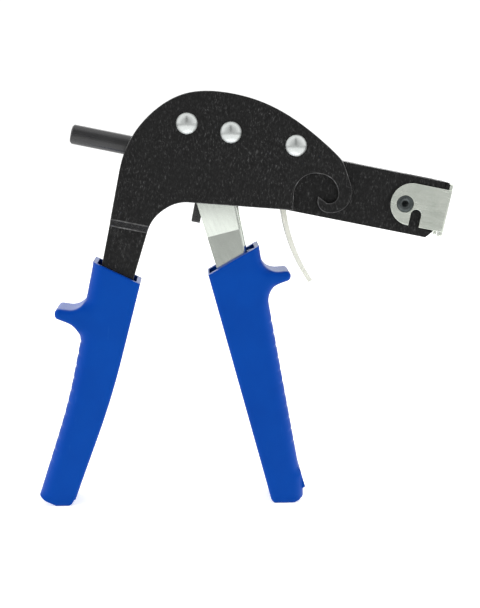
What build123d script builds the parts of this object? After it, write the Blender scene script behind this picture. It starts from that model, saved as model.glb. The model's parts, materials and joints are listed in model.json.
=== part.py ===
from build123d import *
from math import asin, cos, radians, sin, tan
import os

# Setting tool for hollow-wall anchors: a plier that pulls a steel rod rearward.
#
# Every piece is drawn in the tool's own frame: X runs along the pull rod towards the nose, with X = 0 under the
# rear rivet, Y is the thickness and Z = 0 is the rod's axis. The whole tool is then stood up on its two grips.
# Millimetres throughout.

# ---- stance -------------------------------------------------------------------------------------------------
TILT = 11.4  # nose-down lean of the rod when the tool stands on its grips, degrees
ROD_HEIGHT = 167.3  # rod axis above the floor, under the rear rivet

# ---- thickness stack, half widths from the middle plane -----------------------------------------------------
CHANNEL_HALF = 8.5  # outside of the nose channel and inside of the side plates
CHANNEL_WALL = 1.6
PLATE = 2.5  # side plate thickness
HANDLE_WALL = 1.6
SIDE_GAP = 0.3  # sideways clearance of the handle and of the nose plate
INNER_GAP = 0.4  # sideways clearance of what slides inside the handle and the channel
CLIP_WALL = 1.45  # nose plate sheet
RUNNING = 0.05  # radial clearance of a running fit

PLATE_OUT = CHANNEL_HALF + PLATE
SHANK_OUT = CHANNEL_HALF
SHANK_IN = SHANK_OUT - PLATE
CHANNEL_IN = CHANNEL_HALF - CHANNEL_WALL
HANDLE_TAPER = 1.2  # how far each flange of the handle comes in above its bend line
HANDLE_HALF = CHANNEL_HALF - SIDE_GAP
HANDLE_IN = HANDLE_HALF - HANDLE_WALL
HANDLE_LOW = HANDLE_HALF - HANDLE_TAPER
DRIVE_HALF = HANDLE_IN - INNER_GAP
DRIVE_TAIL_HALF = HANDLE_IN - HANDLE_TAPER - INNER_GAP
CLIP_IN = CHANNEL_HALF + SIDE_GAP
CLIP_OUT = CLIP_IN + CLIP_WALL

# ---- rivets -------------------------------------------------------------------------------------------------
RIVET_LINE = 15.4  # rivets above the rod axis
CENTRE_RIVET_X = 20.6
FRONT_RIVET_X = 51.3
RIVET_R = 2.75
RIVET_HEAD_R = 4.9
RIVET_HEAD = 2.3  # height of a domed head
BUSH_R = 4.5  # outside of the pivot bush and of the centre spacer
PIVOT = (0, RIVET_LINE)
CENTRE = (CENTRE_RIVET_X, RIVET_LINE)
FRONT = (FRONT_RIVET_X, RIVET_LINE)

# ---- side plates --------------------------------------------------------------------------------------------
ARCH_RISE = 17.4  # top of the plates above the rivet line
REAR_EDGE_X = -26.3
JOGGLE_TOP = -34.5
JOGGLE_DROP = 3.2
SHANK_END = -140.0
PLATE_FOOT = -14.1  # bottom edge behind the hook
HOOK_X = FRONT_RIVET_X + 20.5  # centre of the hook at the front of the plates
HOOK_Z = -2.4
HOOK_R = 9.7
CUTOUT_BACK_X = HOOK_X - 15.8  # rear corner of the hook's cut-out, on the bottom edge

# ---- pull rod -----------------------------------------------------------------------------------------------
ROD_R = 4.6
ROD_TAIL_X = -51.6
ROD_CHAMFER = 0.9

# ---- nose channel -------------------------------------------------------------------------------------------
NOSE_X = 124.25  # back of the front wall
CHANNEL_TOP = 12.5
CHANNEL_BOTTOM = -14.7
CHANNEL_REAR_X = 36.4
EAR_R = 5.5
FRONT_WALL_FOOT = -2.4
WALL_SLOT_R = 4.6  # slot for the largest screw
WINDOW = 14.5
WINDOW_HALF = 4.5
WINDOW_BACK = 3.9  # from the window's front end to the front wall
ROD_WALL_FOOT = -8.5  # lower end of the rear wall that guides the rod

# ---- nose plate ---------------------------------------------------------------------------------------------
PIN_BACK = 17.25  # nose pins behind the front wall's back
PIN_Z = -1.0
PIN_R = 3.9
PIN_PROUD = 0.35
PIN_X = NOSE_X - PIN_BACK
WALL_REACH = PIN_BACK + CHANNEL_WALL  # from the pins to the front wall's outer face
CLIP_REACH = WALL_REACH + 0.3  # from the pins to the nose plate's inner face
SWING_R = CLIP_REACH - 0.25  # what the nose plate clears as it swings under the channel
CLIP_X = PIN_X + CLIP_REACH
CLIP_TOP = 12.1
CLIP_BOTTOM = -13.2
CLIP_CHEEK_R = 9.9
CLIP_CHEEK_X = PIN_X + 3.0
CLIP_CHEEK_Z = -0.7
CLIP_NOTCH_R = 2.5
CLIP_NOTCH_X = PIN_X + 6.1
CLIP_NOTCH_Z = -5.1
CLIP_SLOT_R = 3.3  # slot for the smaller screws

# ---- puller jaw ---------------------------------------------------------------------------------------------
JAW_HALF = CHANNEL_IN - INNER_GAP
JAW_GAP = 1.35  # jaw to front wall with the rod fully forward
JAW_LIP = 4.0
JAW_POCKET = 6.5
JAW_BLOCK = 7.2
JAW_TOP = CHANNEL_TOP - CHANNEL_WALL - 0.6
JAW_ROOF = 2.9
JAW_FOOT = -9.0
JAW_SLOT_R = 4.3
JAW_PIN_R = 1.5
JAW_FRONT_X = NOSE_X - JAW_GAP
JAW_BLOCK_FRONT_X = JAW_FRONT_X - JAW_LIP - JAW_POCKET
JAW_BACK_X = JAW_BLOCK_FRONT_X - JAW_BLOCK
ROD_FRONT_X = JAW_BLOCK_FRONT_X - 1.2
JAW_PIN_X = (JAW_BACK_X + ROD_FRONT_X) / 2

# ---- drive: rear guide, plates, drive pin, springs ----------------------------------------------------------
GUIDE_X = -20.0
GUIDE_LENGTH = 5.0
GUIDE_HALF_HEIGHT = 8.5
DRIVE_X = 10.8  # rear face of the drive plates
DRIVE_PLATE = 2.0  # thickness of each of the two
DRIVE_TOP = 9.0
DRIVE_BOTTOM = -29.0
DRIVE_SHOULDER = -10.5  # below it the plates are narrower, to run between the tapered flanges
DRIVE_EDGE = 1.0  # rounding of the long edges
DRIVE_FRONT_X = DRIVE_X + 2 * DRIVE_PLATE
DRIVE_PIN_R = 2.5
DRIVE_PIN_Z = -9.0
DRIVE_PIN_X = DRIVE_FRONT_X + SIDE_GAP + DRIVE_PIN_R
SPRING_WIRE_R = 0.5
SPRING_R = ROD_R + 0.3 + SPRING_WIRE_R
SPRING_SEAT = 0.1  # clear of the faces at both ends
RETURN_COILS = 8

# ---- release lever ------------------------------------------------------------------------------------------
LEVER = 2.2  # thickness
LEVER_TOP_X = 47.4
LEVER_TOP_Z = CHANNEL_TOP - LEVER / 2 - 0.3  # centre of the tongue's round end, on which the lever rocks
LEVER_LEAN = 10.0  # degrees off the rod's perpendicular
LEVER_BEND_Z = -14.0
LEVER_HALF = CHANNEL_IN - 0.6
LEVER_TAIL_HALF = 5.0
LEVER_TONGUE_HALF = 3.5
LEVER_SLOT = 1.0  # play of the tongue in the channel's slot, each way
LEVER_HOLE_R = ROD_R + 0.55
LEVER_BEND_X = LEVER_TOP_X + (LEVER_TOP_Z - LEVER_BEND_Z) * tan(radians(LEVER_LEAN))
LEVER_MIDDLE = (LEVER_BEND_X + 7.4, LEVER_BEND_Z - 16.2)
LEVER_TIP = (LEVER_BEND_X + 19.8, LEVER_BEND_Z - 31.9)
LOCK_COILS = 3.5

# ---- handle and grips ---------------------------------------------------------------------------------------
HANDLE_HEAD_R = 8.5  # rounded top about the pivot
HANDLE_LENGTH = 135.0  # from the pivot to the end inside the grip
HANDLE_REAR = (26.5, -47.7)  # a point on the channel's rear edge, where it enters the grip
HANDLE_FRONT = (37.5, -33.5)  # a point on its front edge
REAR_SLOPE = 0.535  # forward run per unit down, rear edge
FRONT_SLOPE = 0.417  # and front edge
HANDLE_LEAN = 25.4  # degrees, of the line halfway between the two edges
WEB_START = 35.5  # from the pivot, along the handle: top of the web, where the flanges start to come in
BEND_AT = 53.5  # bend line, below which the flanges are parallel again
HANDLE_BEND = 2.0  # outside radius of the folded front edges
GRIP_HALF = PLATE_OUT
GRIP_WALL = 2.0
GRIP_ROUND = 2.0
FIXED_RIM = ((-30.7, -55.8), (-7.2, -61.9))
MOVING_RIM = ((23.2, -51.6), (43.9, -33.5))
FIXED_POCKET_END = SHANK_END - 4
MOVING_POCKET_END = -112.0


def floor_z(x):
    """Height of the floor in the tool's leaning frame, at x."""
    return (x * sin(radians(TILT)) - ROD_HEIGHT) / cos(radians(TILT))


def rear_line(z):
    """Rear edge of the handle channel at height z."""
    return HANDLE_REAR[0] + (HANDLE_REAR[1] - z) * REAR_SLOPE


def front_line(z):
    """Front edge of the handle channel at height z."""
    return HANDLE_FRONT[0] + (HANDLE_FRONT[1] - z) * FRONT_SLOPE


def drill(x, z, radius):
    """Drill the part being built right through, across its thickness."""
    with BuildSketch(Plane.XZ) as hole:
        with Locations((x, z)):
            Circle(radius)
    extrude(hole.sketch, amount=2 * PLATE_OUT, both=True, mode=Mode.SUBTRACT)


def bore_along_rod(radius):
    """Bore the part being built from end to end along the rod's axis."""
    with BuildSketch(Plane.YZ) as hole:
        Circle(radius)
    extrude(hole.sketch, amount=2 * NOSE_X, both=True, mode=Mode.SUBTRACT)


pieces = []


def finish(builder, name):
    """Label a finished piece and keep it for the assembly."""
    builder.part.label = name
    pieces.append(builder.part)


# ---- side plates --------------------------------------------------------------------------------------------

ARCH_TOP_X = 16.5
HOOK_TURN = 30.0  # where the arch runs into the hook's circle, degrees
HOOK_START = (HOOK_X + HOOK_R * cos(radians(HOOK_TURN)), HOOK_Z + HOOK_R * sin(radians(HOOK_TURN)))
HOOK_FRONT = (HOOK_X + HOOK_R, HOOK_Z)
HOOK_FOOT = (HOOK_X - 1.3, HOOK_Z - HOOK_R + 0.1)
HOOK_TIP = (HOOK_X - 5.5, HOOK_Z - 3.1)
HOOK_HEEL = (HOOK_X - 1.3, HOOK_Z - 5.3)
CUTOUT_RIGHT = (HOOK_X + 3.5, HOOK_Z - 1.2)
CUTOUT_TOP = (HOOK_X - 6.4, HOOK_Z + 7.3)
CUTOUT_LEFT = (CUTOUT_BACK_X - 1.1, HOOK_Z - 4.6)
SHANK_NOSE = (-8.4, -37.0)

with BuildPart() as side_plate_near:
    with BuildSketch(Plane.YZ):
        Polygon(
            (-CHANNEL_HALF, RIVET_LINE + ARCH_RISE + 5),
            (-PLATE_OUT, RIVET_LINE + ARCH_RISE + 5),
            (-PLATE_OUT, JOGGLE_TOP),
            (-SHANK_OUT, JOGGLE_TOP - JOGGLE_DROP),
            (-SHANK_OUT, SHANK_END - 5),
            (-SHANK_IN, SHANK_END - 5),
            (-SHANK_IN, JOGGLE_TOP - JOGGLE_DROP),
            (-CHANNEL_HALF, JOGGLE_TOP),
            align=None,
        )
    extrude(amount=2 * NOSE_X, both=True)
    with BuildSketch(Plane.XZ):
        with BuildLine():
            Polyline((-28.1, SHANK_END), (-26.5, -60), (REAR_EDGE_X, -36), (REAR_EDGE_X, -12))
            Spline(
                (REAR_EDGE_X, -12),
                (-18.9, RIVET_LINE - 1.7),
                (-3.8, RIVET_LINE + ARCH_RISE - 4.5),
                (ARCH_TOP_X, RIVET_LINE + ARCH_RISE),
                (FRONT_RIVET_X - 1.2, RIVET_LINE + ARCH_RISE - 6.6),
                (HOOK_X + 0.7, HOOK_Z + 16.2),
                HOOK_START,
                tangents=((0, 1), (sin(radians(HOOK_TURN)), -cos(radians(HOOK_TURN)))),
            )
            ThreePointArc(HOOK_START, HOOK_FRONT, HOOK_FOOT)
            ThreePointArc(HOOK_FOOT, (HOOK_X - 4.9, HOOK_Z - 6.9), HOOK_TIP)
            Line(HOOK_TIP, HOOK_HEEL)
            ThreePointArc(HOOK_HEEL, (HOOK_X + 2.1, HOOK_Z - 4.3), CUTOUT_RIGHT)
            ThreePointArc(CUTOUT_RIGHT, (HOOK_X + 0.8, HOOK_Z + 4.6), CUTOUT_TOP)
            ThreePointArc(CUTOUT_TOP, (HOOK_X - 14.2, HOOK_Z + 4.3), CUTOUT_LEFT)
            Polyline(CUTOUT_LEFT, (CUTOUT_BACK_X, PLATE_FOOT), (8.0, -19.9))
            Spline((8.0, -19.9), (-2.6, -25.2), SHANK_NOSE, tangents=((-1, -0.12), (-0.1, -1)))
            Polyline(SHANK_NOSE, (-10.8, -61), (-16.1, SHANK_END), (-28.1, SHANK_END))
        make_face()
    extrude(amount=2 * PLATE_OUT, both=True, mode=Mode.INTERSECT)
    for hole in (PIVOT, CENTRE, FRONT):
        drill(*hole, RIVET_R)
finish(side_plate_near, "side_plate_near")

with BuildPart() as side_plate_far:
    mirror(side_plate_near.part, about=Plane.XZ)
finish(side_plate_far, "side_plate_far")


# ---- rivets, bush, spacer and rear guide --------------------------------------------------------------------

def rivet(name, place):
    """A domed rivet through both plates, standing across the tool at place."""
    head_sphere = (RIVET_HEAD_R**2 + RIVET_HEAD**2) / (2 * RIVET_HEAD)
    crown = PLATE_OUT + RIVET_HEAD
    with BuildPart() as piece:
        with BuildSketch(Plane.XZ):
            with Locations(place):
                Circle(RIVET_R)
        extrude(amount=PLATE_OUT, both=True)
        with BuildSketch(Plane.YZ.offset(place[0])):
            with BuildLine():
                Polyline((PLATE_OUT, place[1]), (crown, place[1]))
                RadiusArc((crown, place[1]), (PLATE_OUT, place[1] + RIVET_HEAD_R), -head_sphere)
                Line((PLATE_OUT, place[1] + RIVET_HEAD_R), (PLATE_OUT, place[1]))
            make_face()
        revolve(axis=Axis((place[0], 0, place[1]), (0, 1, 0)))
        mirror(about=Plane.XZ)
    finish(piece, name)


def tube(name, place, half_length, outer_r):
    """A tube round a rivet's shank, across the tool."""
    with BuildPart() as piece:
        with BuildSketch(Plane.XZ):
            with Locations(place):
                Circle(outer_r)
                Circle(RIVET_R, mode=Mode.SUBTRACT)
        extrude(amount=half_length, both=True)
    finish(piece, name)


rivet("pivot_rivet", PIVOT)
rivet("centre_rivet", CENTRE)
rivet("front_rivet", FRONT)
tube("pivot_bush", PIVOT, CHANNEL_HALF, BUSH_R)
tube("centre_spacer", CENTRE, CHANNEL_IN, BUSH_R - 0.5)

with BuildPart() as rear_guide:
    with BuildSketch(Plane.YZ.offset(GUIDE_X)):
        RectangleRounded(2 * CHANNEL_HALF, 2 * GUIDE_HALF_HEIGHT, 1.0)
    extrude(amount=GUIDE_LENGTH)
    bore_along_rod(ROD_R + RUNNING)
finish(rear_guide, "rear_guide")


# ---- nose channel -------------------------------------------------------------------------------------------

with BuildPart() as nose_channel:
    # both cheeks, with ears that reach the centre and front rivets
    cheek_front = NOSE_X - 0.4
    corner_z = PIN_Z - (SWING_R**2 - (cheek_front - PIN_X) ** 2) ** 0.5
    foot_x = PIN_X + (SWING_R**2 - (CHANNEL_BOTTOM - PIN_Z) ** 2) ** 0.5
    corner = (asin((PIN_Z - corner_z) / SWING_R) + asin((PIN_Z - CHANNEL_BOTTOM) / SWING_R)) / 2
    with BuildSketch(Plane.XZ):
        with BuildLine():
            Polyline(
                (foot_x, CHANNEL_BOTTOM),
                (CHANNEL_REAR_X, CHANNEL_BOTTOM),
                (CHANNEL_REAR_X, RIVET_LINE),
                (FRONT_RIVET_X + EAR_R, RIVET_LINE),
                (FRONT_RIVET_X + EAR_R, CHANNEL_TOP),
                (cheek_front, CHANNEL_TOP),
                (cheek_front, corner_z),
            )
            ThreePointArc(
                (cheek_front, corner_z),
                (PIN_X + SWING_R * cos(corner), PIN_Z - SWING_R * sin(corner)),
                (foot_x, CHANNEL_BOTTOM),
            )
        make_face()
        with Locations(CENTRE, FRONT):
            Circle(EAR_R)
        with Locations(((CENTRE_RIVET_X + FRONT_RIVET_X) / 2, RIVET_LINE)):
            Rectangle(FRONT_RIVET_X - CENTRE_RIVET_X, 2 * EAR_R)
    extrude(amount=CHANNEL_HALF, both=True)
    # the space between the cheeks
    with BuildSketch(Plane.XZ):
        with Locations((0, CHANNEL_TOP - CHANNEL_WALL)):
            Rectangle(3 * NOSE_X, 60, align=(Align.CENTER, Align.MAX))
        with Locations((0, CHANNEL_TOP)):
            Rectangle(3 * NOSE_X, 60, align=(Align.CENTER, Align.MIN))
        with Locations((CHANNEL_REAR_X, CHANNEL_TOP)):
            Rectangle(60, 60, align=(Align.MAX, Align.CENTER))
    extrude(amount=CHANNEL_IN, both=True, mode=Mode.SUBTRACT)
    # rear wall, bent down from the web to guide the rod
    with BuildSketch(Plane.YZ.offset(CHANNEL_REAR_X)):
        with Locations((0, CHANNEL_TOP)):
            Rectangle(2 * CHANNEL_IN, CHANNEL_TOP - ROD_WALL_FOOT, align=(Align.CENTER, Align.MAX))
    extrude(amount=CHANNEL_WALL)
    bore_along_rod(ROD_R + RUNNING)
    # front wall, bent down from the web, with its screw slot open below
    with BuildSketch(Plane.YZ.offset(NOSE_X)):
        with Locations((0, CHANNEL_TOP)):
            Rectangle(2 * CHANNEL_HALF, CHANNEL_TOP - FRONT_WALL_FOOT, align=(Align.CENTER, Align.MAX))
        Circle(WALL_SLOT_R, mode=Mode.SUBTRACT)
        Rectangle(2 * WALL_SLOT_R, 60, align=(Align.CENTER, Align.MAX), mode=Mode.SUBTRACT)
    extrude(amount=CHANNEL_WALL)
    with BuildSketch(Plane.XZ):
        with Locations((NOSE_X, CHANNEL_TOP)):
            Rectangle(1.2, CHANNEL_WALL, align=(Align.MAX, Align.MAX))
    extrude(amount=CHANNEL_IN, both=True)
    # window over the jaw, and the slot that holds the lever's tongue
    with BuildSketch(Plane.XY.offset(CHANNEL_TOP)):
        with Locations((NOSE_X - WINDOW_BACK, 0)):
            Rectangle(WINDOW, 2 * WINDOW_HALF, align=(Align.MAX, Align.CENTER))
        with Locations((LEVER_TOP_X, 0)):
            Rectangle(LEVER + 2 * LEVER_SLOT, 2 * LEVER_TONGUE_HALF + 2 * INNER_GAP)
    extrude(amount=2 * CHANNEL_WALL, both=True, mode=Mode.SUBTRACT)
    for hole in (CENTRE, FRONT):
        drill(*hole, RIVET_R)
    drill(PIN_X, PIN_Z, PIN_R)
finish(nose_channel, "nose_channel")


# ---- nose pins and the swinging nose plate ------------------------------------------------------------------

PIN_END = CLIP_OUT + PIN_PROUD

with BuildPart() as nose_pin_near:
    with BuildSketch(Plane.XZ.offset(CHANNEL_IN)):
        with Locations((PIN_X, PIN_Z)):
            Circle(PIN_R)
    extrude(amount=PIN_END - CHANNEL_IN)
    chamfer(faces().sort_by(Axis.Y)[0].edges(), 0.5)
    with Locations(Location((PIN_X, -PIN_END, PIN_Z), (90, 0, 0))):
        CounterSinkHole(radius=0.6, counter_sink_radius=2.0, depth=1.4)
finish(nose_pin_near, "nose_pin_near")

with BuildPart() as nose_pin_far:
    mirror(nose_pin_near.part, about=Plane.XZ)
finish(nose_pin_far, "nose_pin_far")

with BuildPart() as nose_plate:
    # two cheeks, notched below
    with BuildSketch(Plane.XZ):
        with Locations((CLIP_CHEEK_X, CLIP_CHEEK_Z)):
            Circle(CLIP_CHEEK_R)
            Rectangle(CLIP_X - CLIP_CHEEK_X, 2 * CLIP_CHEEK_R, align=(Align.MIN, Align.CENTER))
        with Locations((CLIP_NOTCH_X, CLIP_NOTCH_Z)):
            Circle(CLIP_NOTCH_R, mode=Mode.SUBTRACT)
            Rectangle(2 * CLIP_NOTCH_R, 20, align=(Align.CENTER, Align.MAX), mode=Mode.SUBTRACT)
    extrude(amount=CLIP_OUT, both=True)
    with BuildSketch(Plane.XZ):
        with Locations((CLIP_X, 0)):
            Rectangle(60, 60, align=(Align.MAX, Align.CENTER))
    extrude(amount=CLIP_IN, both=True, mode=Mode.SUBTRACT)
    # front web with its ears
    with BuildSketch(Plane.YZ.offset(CLIP_X)):
        with Locations((0, CLIP_CHEEK_Z)):
            Rectangle(2 * CLIP_OUT, 2 * CLIP_CHEEK_R)
        with Locations((0, (CLIP_TOP + CLIP_BOTTOM) / 2)):
            RectangleRounded(2 * CLIP_IN, CLIP_TOP - CLIP_BOTTOM, 1.0)
        Circle(CLIP_SLOT_R, mode=Mode.SUBTRACT)
        Rectangle(2 * CLIP_SLOT_R, 60, align=(Align.CENTER, Align.MAX), mode=Mode.SUBTRACT)
    extrude(amount=CLIP_WALL)
    bends = edges().filter_by(Axis.Z).group_by(Axis.X)[-1]
    fillet(bends.sort_by(Axis.Y)[0], CLIP_WALL - 0.2)
    bends = edges().filter_by(Axis.Z).group_by(Axis.X)[-1]
    fillet(bends.sort_by(Axis.Y)[-1], CLIP_WALL - 0.2)
    drill(PIN_X, PIN_Z, PIN_R + RUNNING)
finish(nose_plate, "nose_plate")


# ---- pull rod, jaw and its pin ------------------------------------------------------------------------------

with BuildPart() as pull_rod:
    with BuildSketch(Plane.YZ.offset(ROD_TAIL_X)):
        Circle(ROD_R)
    extrude(amount=ROD_FRONT_X - ROD_TAIL_X)
    chamfer(faces().sort_by(Axis.X)[0].edges(), ROD_CHAMFER)
    drill(JAW_PIN_X, 0, JAW_PIN_R)
finish(pull_rod, "pull_rod")

with BuildPart() as puller_jaw:
    with BuildSketch(Plane.XZ):
        Polygon(
            (JAW_BACK_X, JAW_FOOT + 1),
            (JAW_BLOCK_FRONT_X, JAW_FOOT + 1),
            (JAW_BLOCK_FRONT_X, JAW_TOP - JAW_ROOF),
            (JAW_FRONT_X - JAW_LIP, JAW_TOP - JAW_ROOF),
            (JAW_FRONT_X - JAW_LIP, JAW_FOOT),
            (JAW_FRONT_X, JAW_FOOT),
            (JAW_FRONT_X, JAW_TOP),
            (JAW_BACK_X, JAW_TOP),
            align=None,
        )
    extrude(amount=JAW_HALF, both=True)
    with BuildSketch(Plane.YZ.offset(JAW_FRONT_X - JAW_LIP)):
        Circle(JAW_SLOT_R)
        Rectangle(2 * JAW_SLOT_R, 60, align=(Align.CENTER, Align.MAX))
    extrude(amount=2 * JAW_LIP, mode=Mode.SUBTRACT)
    with BuildSketch(Plane.YZ.offset(JAW_BACK_X - 1)):
        Circle(ROD_R)
    extrude(amount=ROD_FRONT_X - JAW_BACK_X + 1, mode=Mode.SUBTRACT)
    drill(JAW_PIN_X, 0, JAW_PIN_R)
finish(puller_jaw, "puller_jaw")

with BuildPart() as jaw_pin:
    with BuildSketch(Plane.XZ):
        with Locations((JAW_PIN_X, 0)):
            Circle(JAW_PIN_R)
    extrude(amount=JAW_HALF, both=True)
finish(jaw_pin, "jaw_pin")


# ---- drive plates and drive pin -----------------------------------------------------------------------------

def drive_plate(name, rear_x):
    """One of the two stacked plates that grip the rod."""
    with BuildPart() as piece:
        with BuildSketch(Plane.YZ.offset(rear_x)):
            with Locations((0, (DRIVE_TOP + DRIVE_BOTTOM) / 2)):
                Rectangle(2 * DRIVE_TAIL_HALF, DRIVE_TOP - DRIVE_BOTTOM)
            with Locations((0, (DRIVE_TOP + DRIVE_SHOULDER) / 2)):
                Rectangle(2 * DRIVE_HALF, DRIVE_TOP - DRIVE_SHOULDER)
        extrude(amount=DRIVE_PLATE)
        along = edges().filter_by(Axis.X).group_by(Axis.Z)
        fillet(along[0] + along[-1], DRIVE_EDGE)
        bore_along_rod(ROD_R + RUNNING)
    finish(piece, name)


drive_plate("drive_plate_rear", DRIVE_X)
drive_plate("drive_plate_front", DRIVE_X + DRIVE_PLATE)

with BuildPart() as drive_pin:
    with BuildSketch(Plane.XZ):
        with Locations((DRIVE_PIN_X, DRIVE_PIN_Z)):
            Circle(DRIVE_PIN_R)
    extrude(amount=HANDLE_HALF, both=True)
finish(drive_pin, "drive_pin")


# ---- springs round the rod ----------------------------------------------------------------------------------

def spring(name, from_x, to_x, coils):
    """A coil spring round the rod between two faces."""
    start = from_x + SPRING_SEAT + SPRING_WIRE_R
    length = to_x - SPRING_SEAT - SPRING_WIRE_R - start
    with BuildPart() as piece:
        with BuildLine():
            coil = Helix(length / coils, length, SPRING_R, center=(start, 0, 0), direction=(1, 0, 0))
        with BuildSketch(Plane(origin=coil @ 0, z_dir=coil % 0)):
            Circle(SPRING_WIRE_R)
        sweep(path=coil, is_frenet=True)
    finish(piece, name)


LEVER_REAR_TOP = LEVER_TOP_X + (LEVER_TOP_Z - SPRING_R) * tan(radians(LEVER_LEAN)) - LEVER / 2 / cos(
    radians(LEVER_LEAN)
)

spring("return_spring", GUIDE_X + GUIDE_LENGTH, DRIVE_X, RETURN_COILS)
spring("lock_spring", CHANNEL_REAR_X + CHANNEL_WALL, LEVER_REAR_TOP - SPRING_WIRE_R, LOCK_COILS)


# ---- release lever ------------------------------------------------------------------------------------------

with BuildPart() as release_lever:
    with BuildSketch(Plane.XZ):
        with BuildLine():
            Line((LEVER_TOP_X, LEVER_TOP_Z), (LEVER_BEND_X, LEVER_BEND_Z))
        trace(line_width=LEVER)
        with Locations((LEVER_TOP_X, LEVER_TOP_Z)):
            Circle(LEVER / 2)
    extrude(amount=LEVER_HALF, both=True)
    with BuildSketch(Plane.XZ):
        with BuildLine():
            ThreePointArc((LEVER_BEND_X, LEVER_BEND_Z), LEVER_MIDDLE, LEVER_TIP)
        trace(line_width=LEVER)
    extrude(amount=LEVER_TAIL_HALF, both=True)
    # shoulders beside the tongue stay under the channel's web
    with BuildSketch(Plane.YZ):
        with Locations((0, CHANNEL_TOP - CHANNEL_WALL - 1.0)):
            Rectangle(60, 30, align=(Align.CENTER, Align.MIN))
            Rectangle(2 * LEVER_TONGUE_HALF, 30, align=(Align.CENTER, Align.MIN), mode=Mode.SUBTRACT)
    extrude(amount=2 * NOSE_X, both=True, mode=Mode.SUBTRACT)
    bore_along_rod(LEVER_HOLE_R)
finish(release_lever, "release_lever")


# ---- handle channel -----------------------------------------------------------------------------------------

SHOULDER_Z = RIVET_LINE - EAR_R - 0.4
LEAN = radians(HANDLE_LEAN)


def along_handle(distance):
    """The plane across the handle at a distance from the pivot, its x forward and its y across the tool."""
    return Plane(
        origin=(distance * sin(LEAN), 0, RIVET_LINE - distance * cos(LEAN)),
        x_dir=(cos(LEAN), 0, sin(LEAN)),
        z_dir=(sin(LEAN), 0, -cos(LEAN)),
    )


def reach(distance, edge, slope):
    """Where an edge line of the handle, through the point edge, crosses that plane, along the plane's x."""
    base = along_handle(distance).origin
    run = edge[0] - base.X + (edge[1] - base.Z) * slope
    return run / (cos(LEAN) + sin(LEAN) * slope)


def channel_section(distance, half):
    """The folded U of the handle at a distance from the pivot, open at the rear."""
    rear = reach(distance, HANDLE_REAR, REAR_SLOPE)
    front = reach(distance, HANDLE_FRONT, FRONT_SLOPE)
    with BuildSketch(along_handle(distance)) as section:
        with Locations((front, 0)):
            Rectangle(front - rear, 2 * half, align=(Align.MAX, Align.CENTER))
        fillet(vertices().group_by(Axis.X)[-1], HANDLE_BEND)
        with Locations((front - HANDLE_WALL, 0)):
            Rectangle(
                front - rear,
                2 * (half - HANDLE_WALL),
                align=(Align.MAX, Align.CENTER),
                mode=Mode.SUBTRACT,
            )
    return section.sketch


with BuildPart() as handle_channel:
    # the two flanges above the web, with round heads about the pivot
    shoulder = along_handle(WEB_START)
    rear_foot = shoulder.from_local_coords(Vector(reach(WEB_START, HANDLE_REAR, REAR_SLOPE), 0, 0))
    front_foot = shoulder.from_local_coords(Vector(reach(WEB_START, HANDLE_FRONT, FRONT_SLOPE), 0, 0))
    with BuildSketch(Plane.XZ):
        Polygon(
            (rear_foot.X, rear_foot.Z),
            (front_foot.X, front_foot.Z),
            (front_line(SHOULDER_Z), SHOULDER_Z),
            (0, RIVET_LINE),
            (rear_line(0), 0),
            align=None,
        )
        with Locations(PIVOT):
            Circle(HANDLE_HEAD_R)
    extrude(amount=HANDLE_HALF, both=True)
    with BuildSketch(Plane.XZ):
        Rectangle(4 * NOSE_X, 4 * NOSE_X)
    extrude(amount=HANDLE_IN, both=True, mode=Mode.SUBTRACT)
    drill(*PIVOT, BUSH_R + RUNNING)
    drill(DRIVE_PIN_X, DRIVE_PIN_Z, DRIVE_PIN_R)
    # the folded part, tapering to the bend line and then straight to its end
    loft(
        (
            channel_section(WEB_START, HANDLE_HALF),
            channel_section(BEND_AT, HANDLE_LOW),
            channel_section(HANDLE_LENGTH, HANDLE_LOW),
        ),
        ruled=True,
    )
finish(handle_channel, "handle_channel")


# ---- grips --------------------------------------------------------------------------------------------------

FLOOR = Plane(
    origin=(0, 0, floor_z(0)),
    x_dir=(cos(radians(TILT)), 0, sin(radians(TILT))),
    z_dir=(-sin(radians(TILT)), 0, cos(radians(TILT))),
)
BELOW = 0.6  # how far the rounded ends are drawn below the floor before they are cut flat
PAST_RIM = 20.0  # how far the fixed grip's pocket is cut past its mouth
PAST_RIM_MOVING = 10.0
FIXED_POCKET_SLOPE = 0.08  # of the pocket's front wall
MOVING_POCKET_SLOPE = 0.502  # of the pocket's rear wall
MOVING_REAR_WALL = 1.12 * GRIP_WALL
MOVING_FRONT_WALL = 1.1 * GRIP_WALL
HANDLE_PLAY = 0.5  # between the handle's front and its pocket, at the far end


def grip(name, points, radii, pocket, pocket_half):
    """A moulded sleeve with a slanted mouth, a pocket for the steel and a flat end on the floor."""
    mouth_middle = (points[0][0] + points[-1][0]) / 2
    with BuildPart() as piece:
        with BuildSketch(Plane.XZ):
            with BuildLine():
                path = FilletPolyline(*points, radius=radii)
                Line(path @ 1, path @ 0)
            make_face()
        extrude(amount=GRIP_HALF, both=True)
        sides = faces().filter_by(Axis.Y).edges()
        fillet([edge for edge in sides if abs((edge @ 0.5).X - mouth_middle) > 0.5], GRIP_ROUND)
        with BuildSketch(Plane.XZ):
            Polygon(*pocket, align=None)
        extrude(amount=pocket_half, both=True, mode=Mode.SUBTRACT)
        split(bisect_by=FLOOR, keep=Keep.TOP)
    finish(piece, name)


def fixed_pocket_front(z):
    """Front wall of the fixed grip's pocket, which closes in on the shank."""
    return FIXED_RIM[1][0] - GRIP_WALL + (z - FIXED_RIM[1][1]) * FIXED_POCKET_SLOPE


FIXED_POCKET_REAR = FIXED_RIM[0][0] + GRIP_WALL

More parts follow.
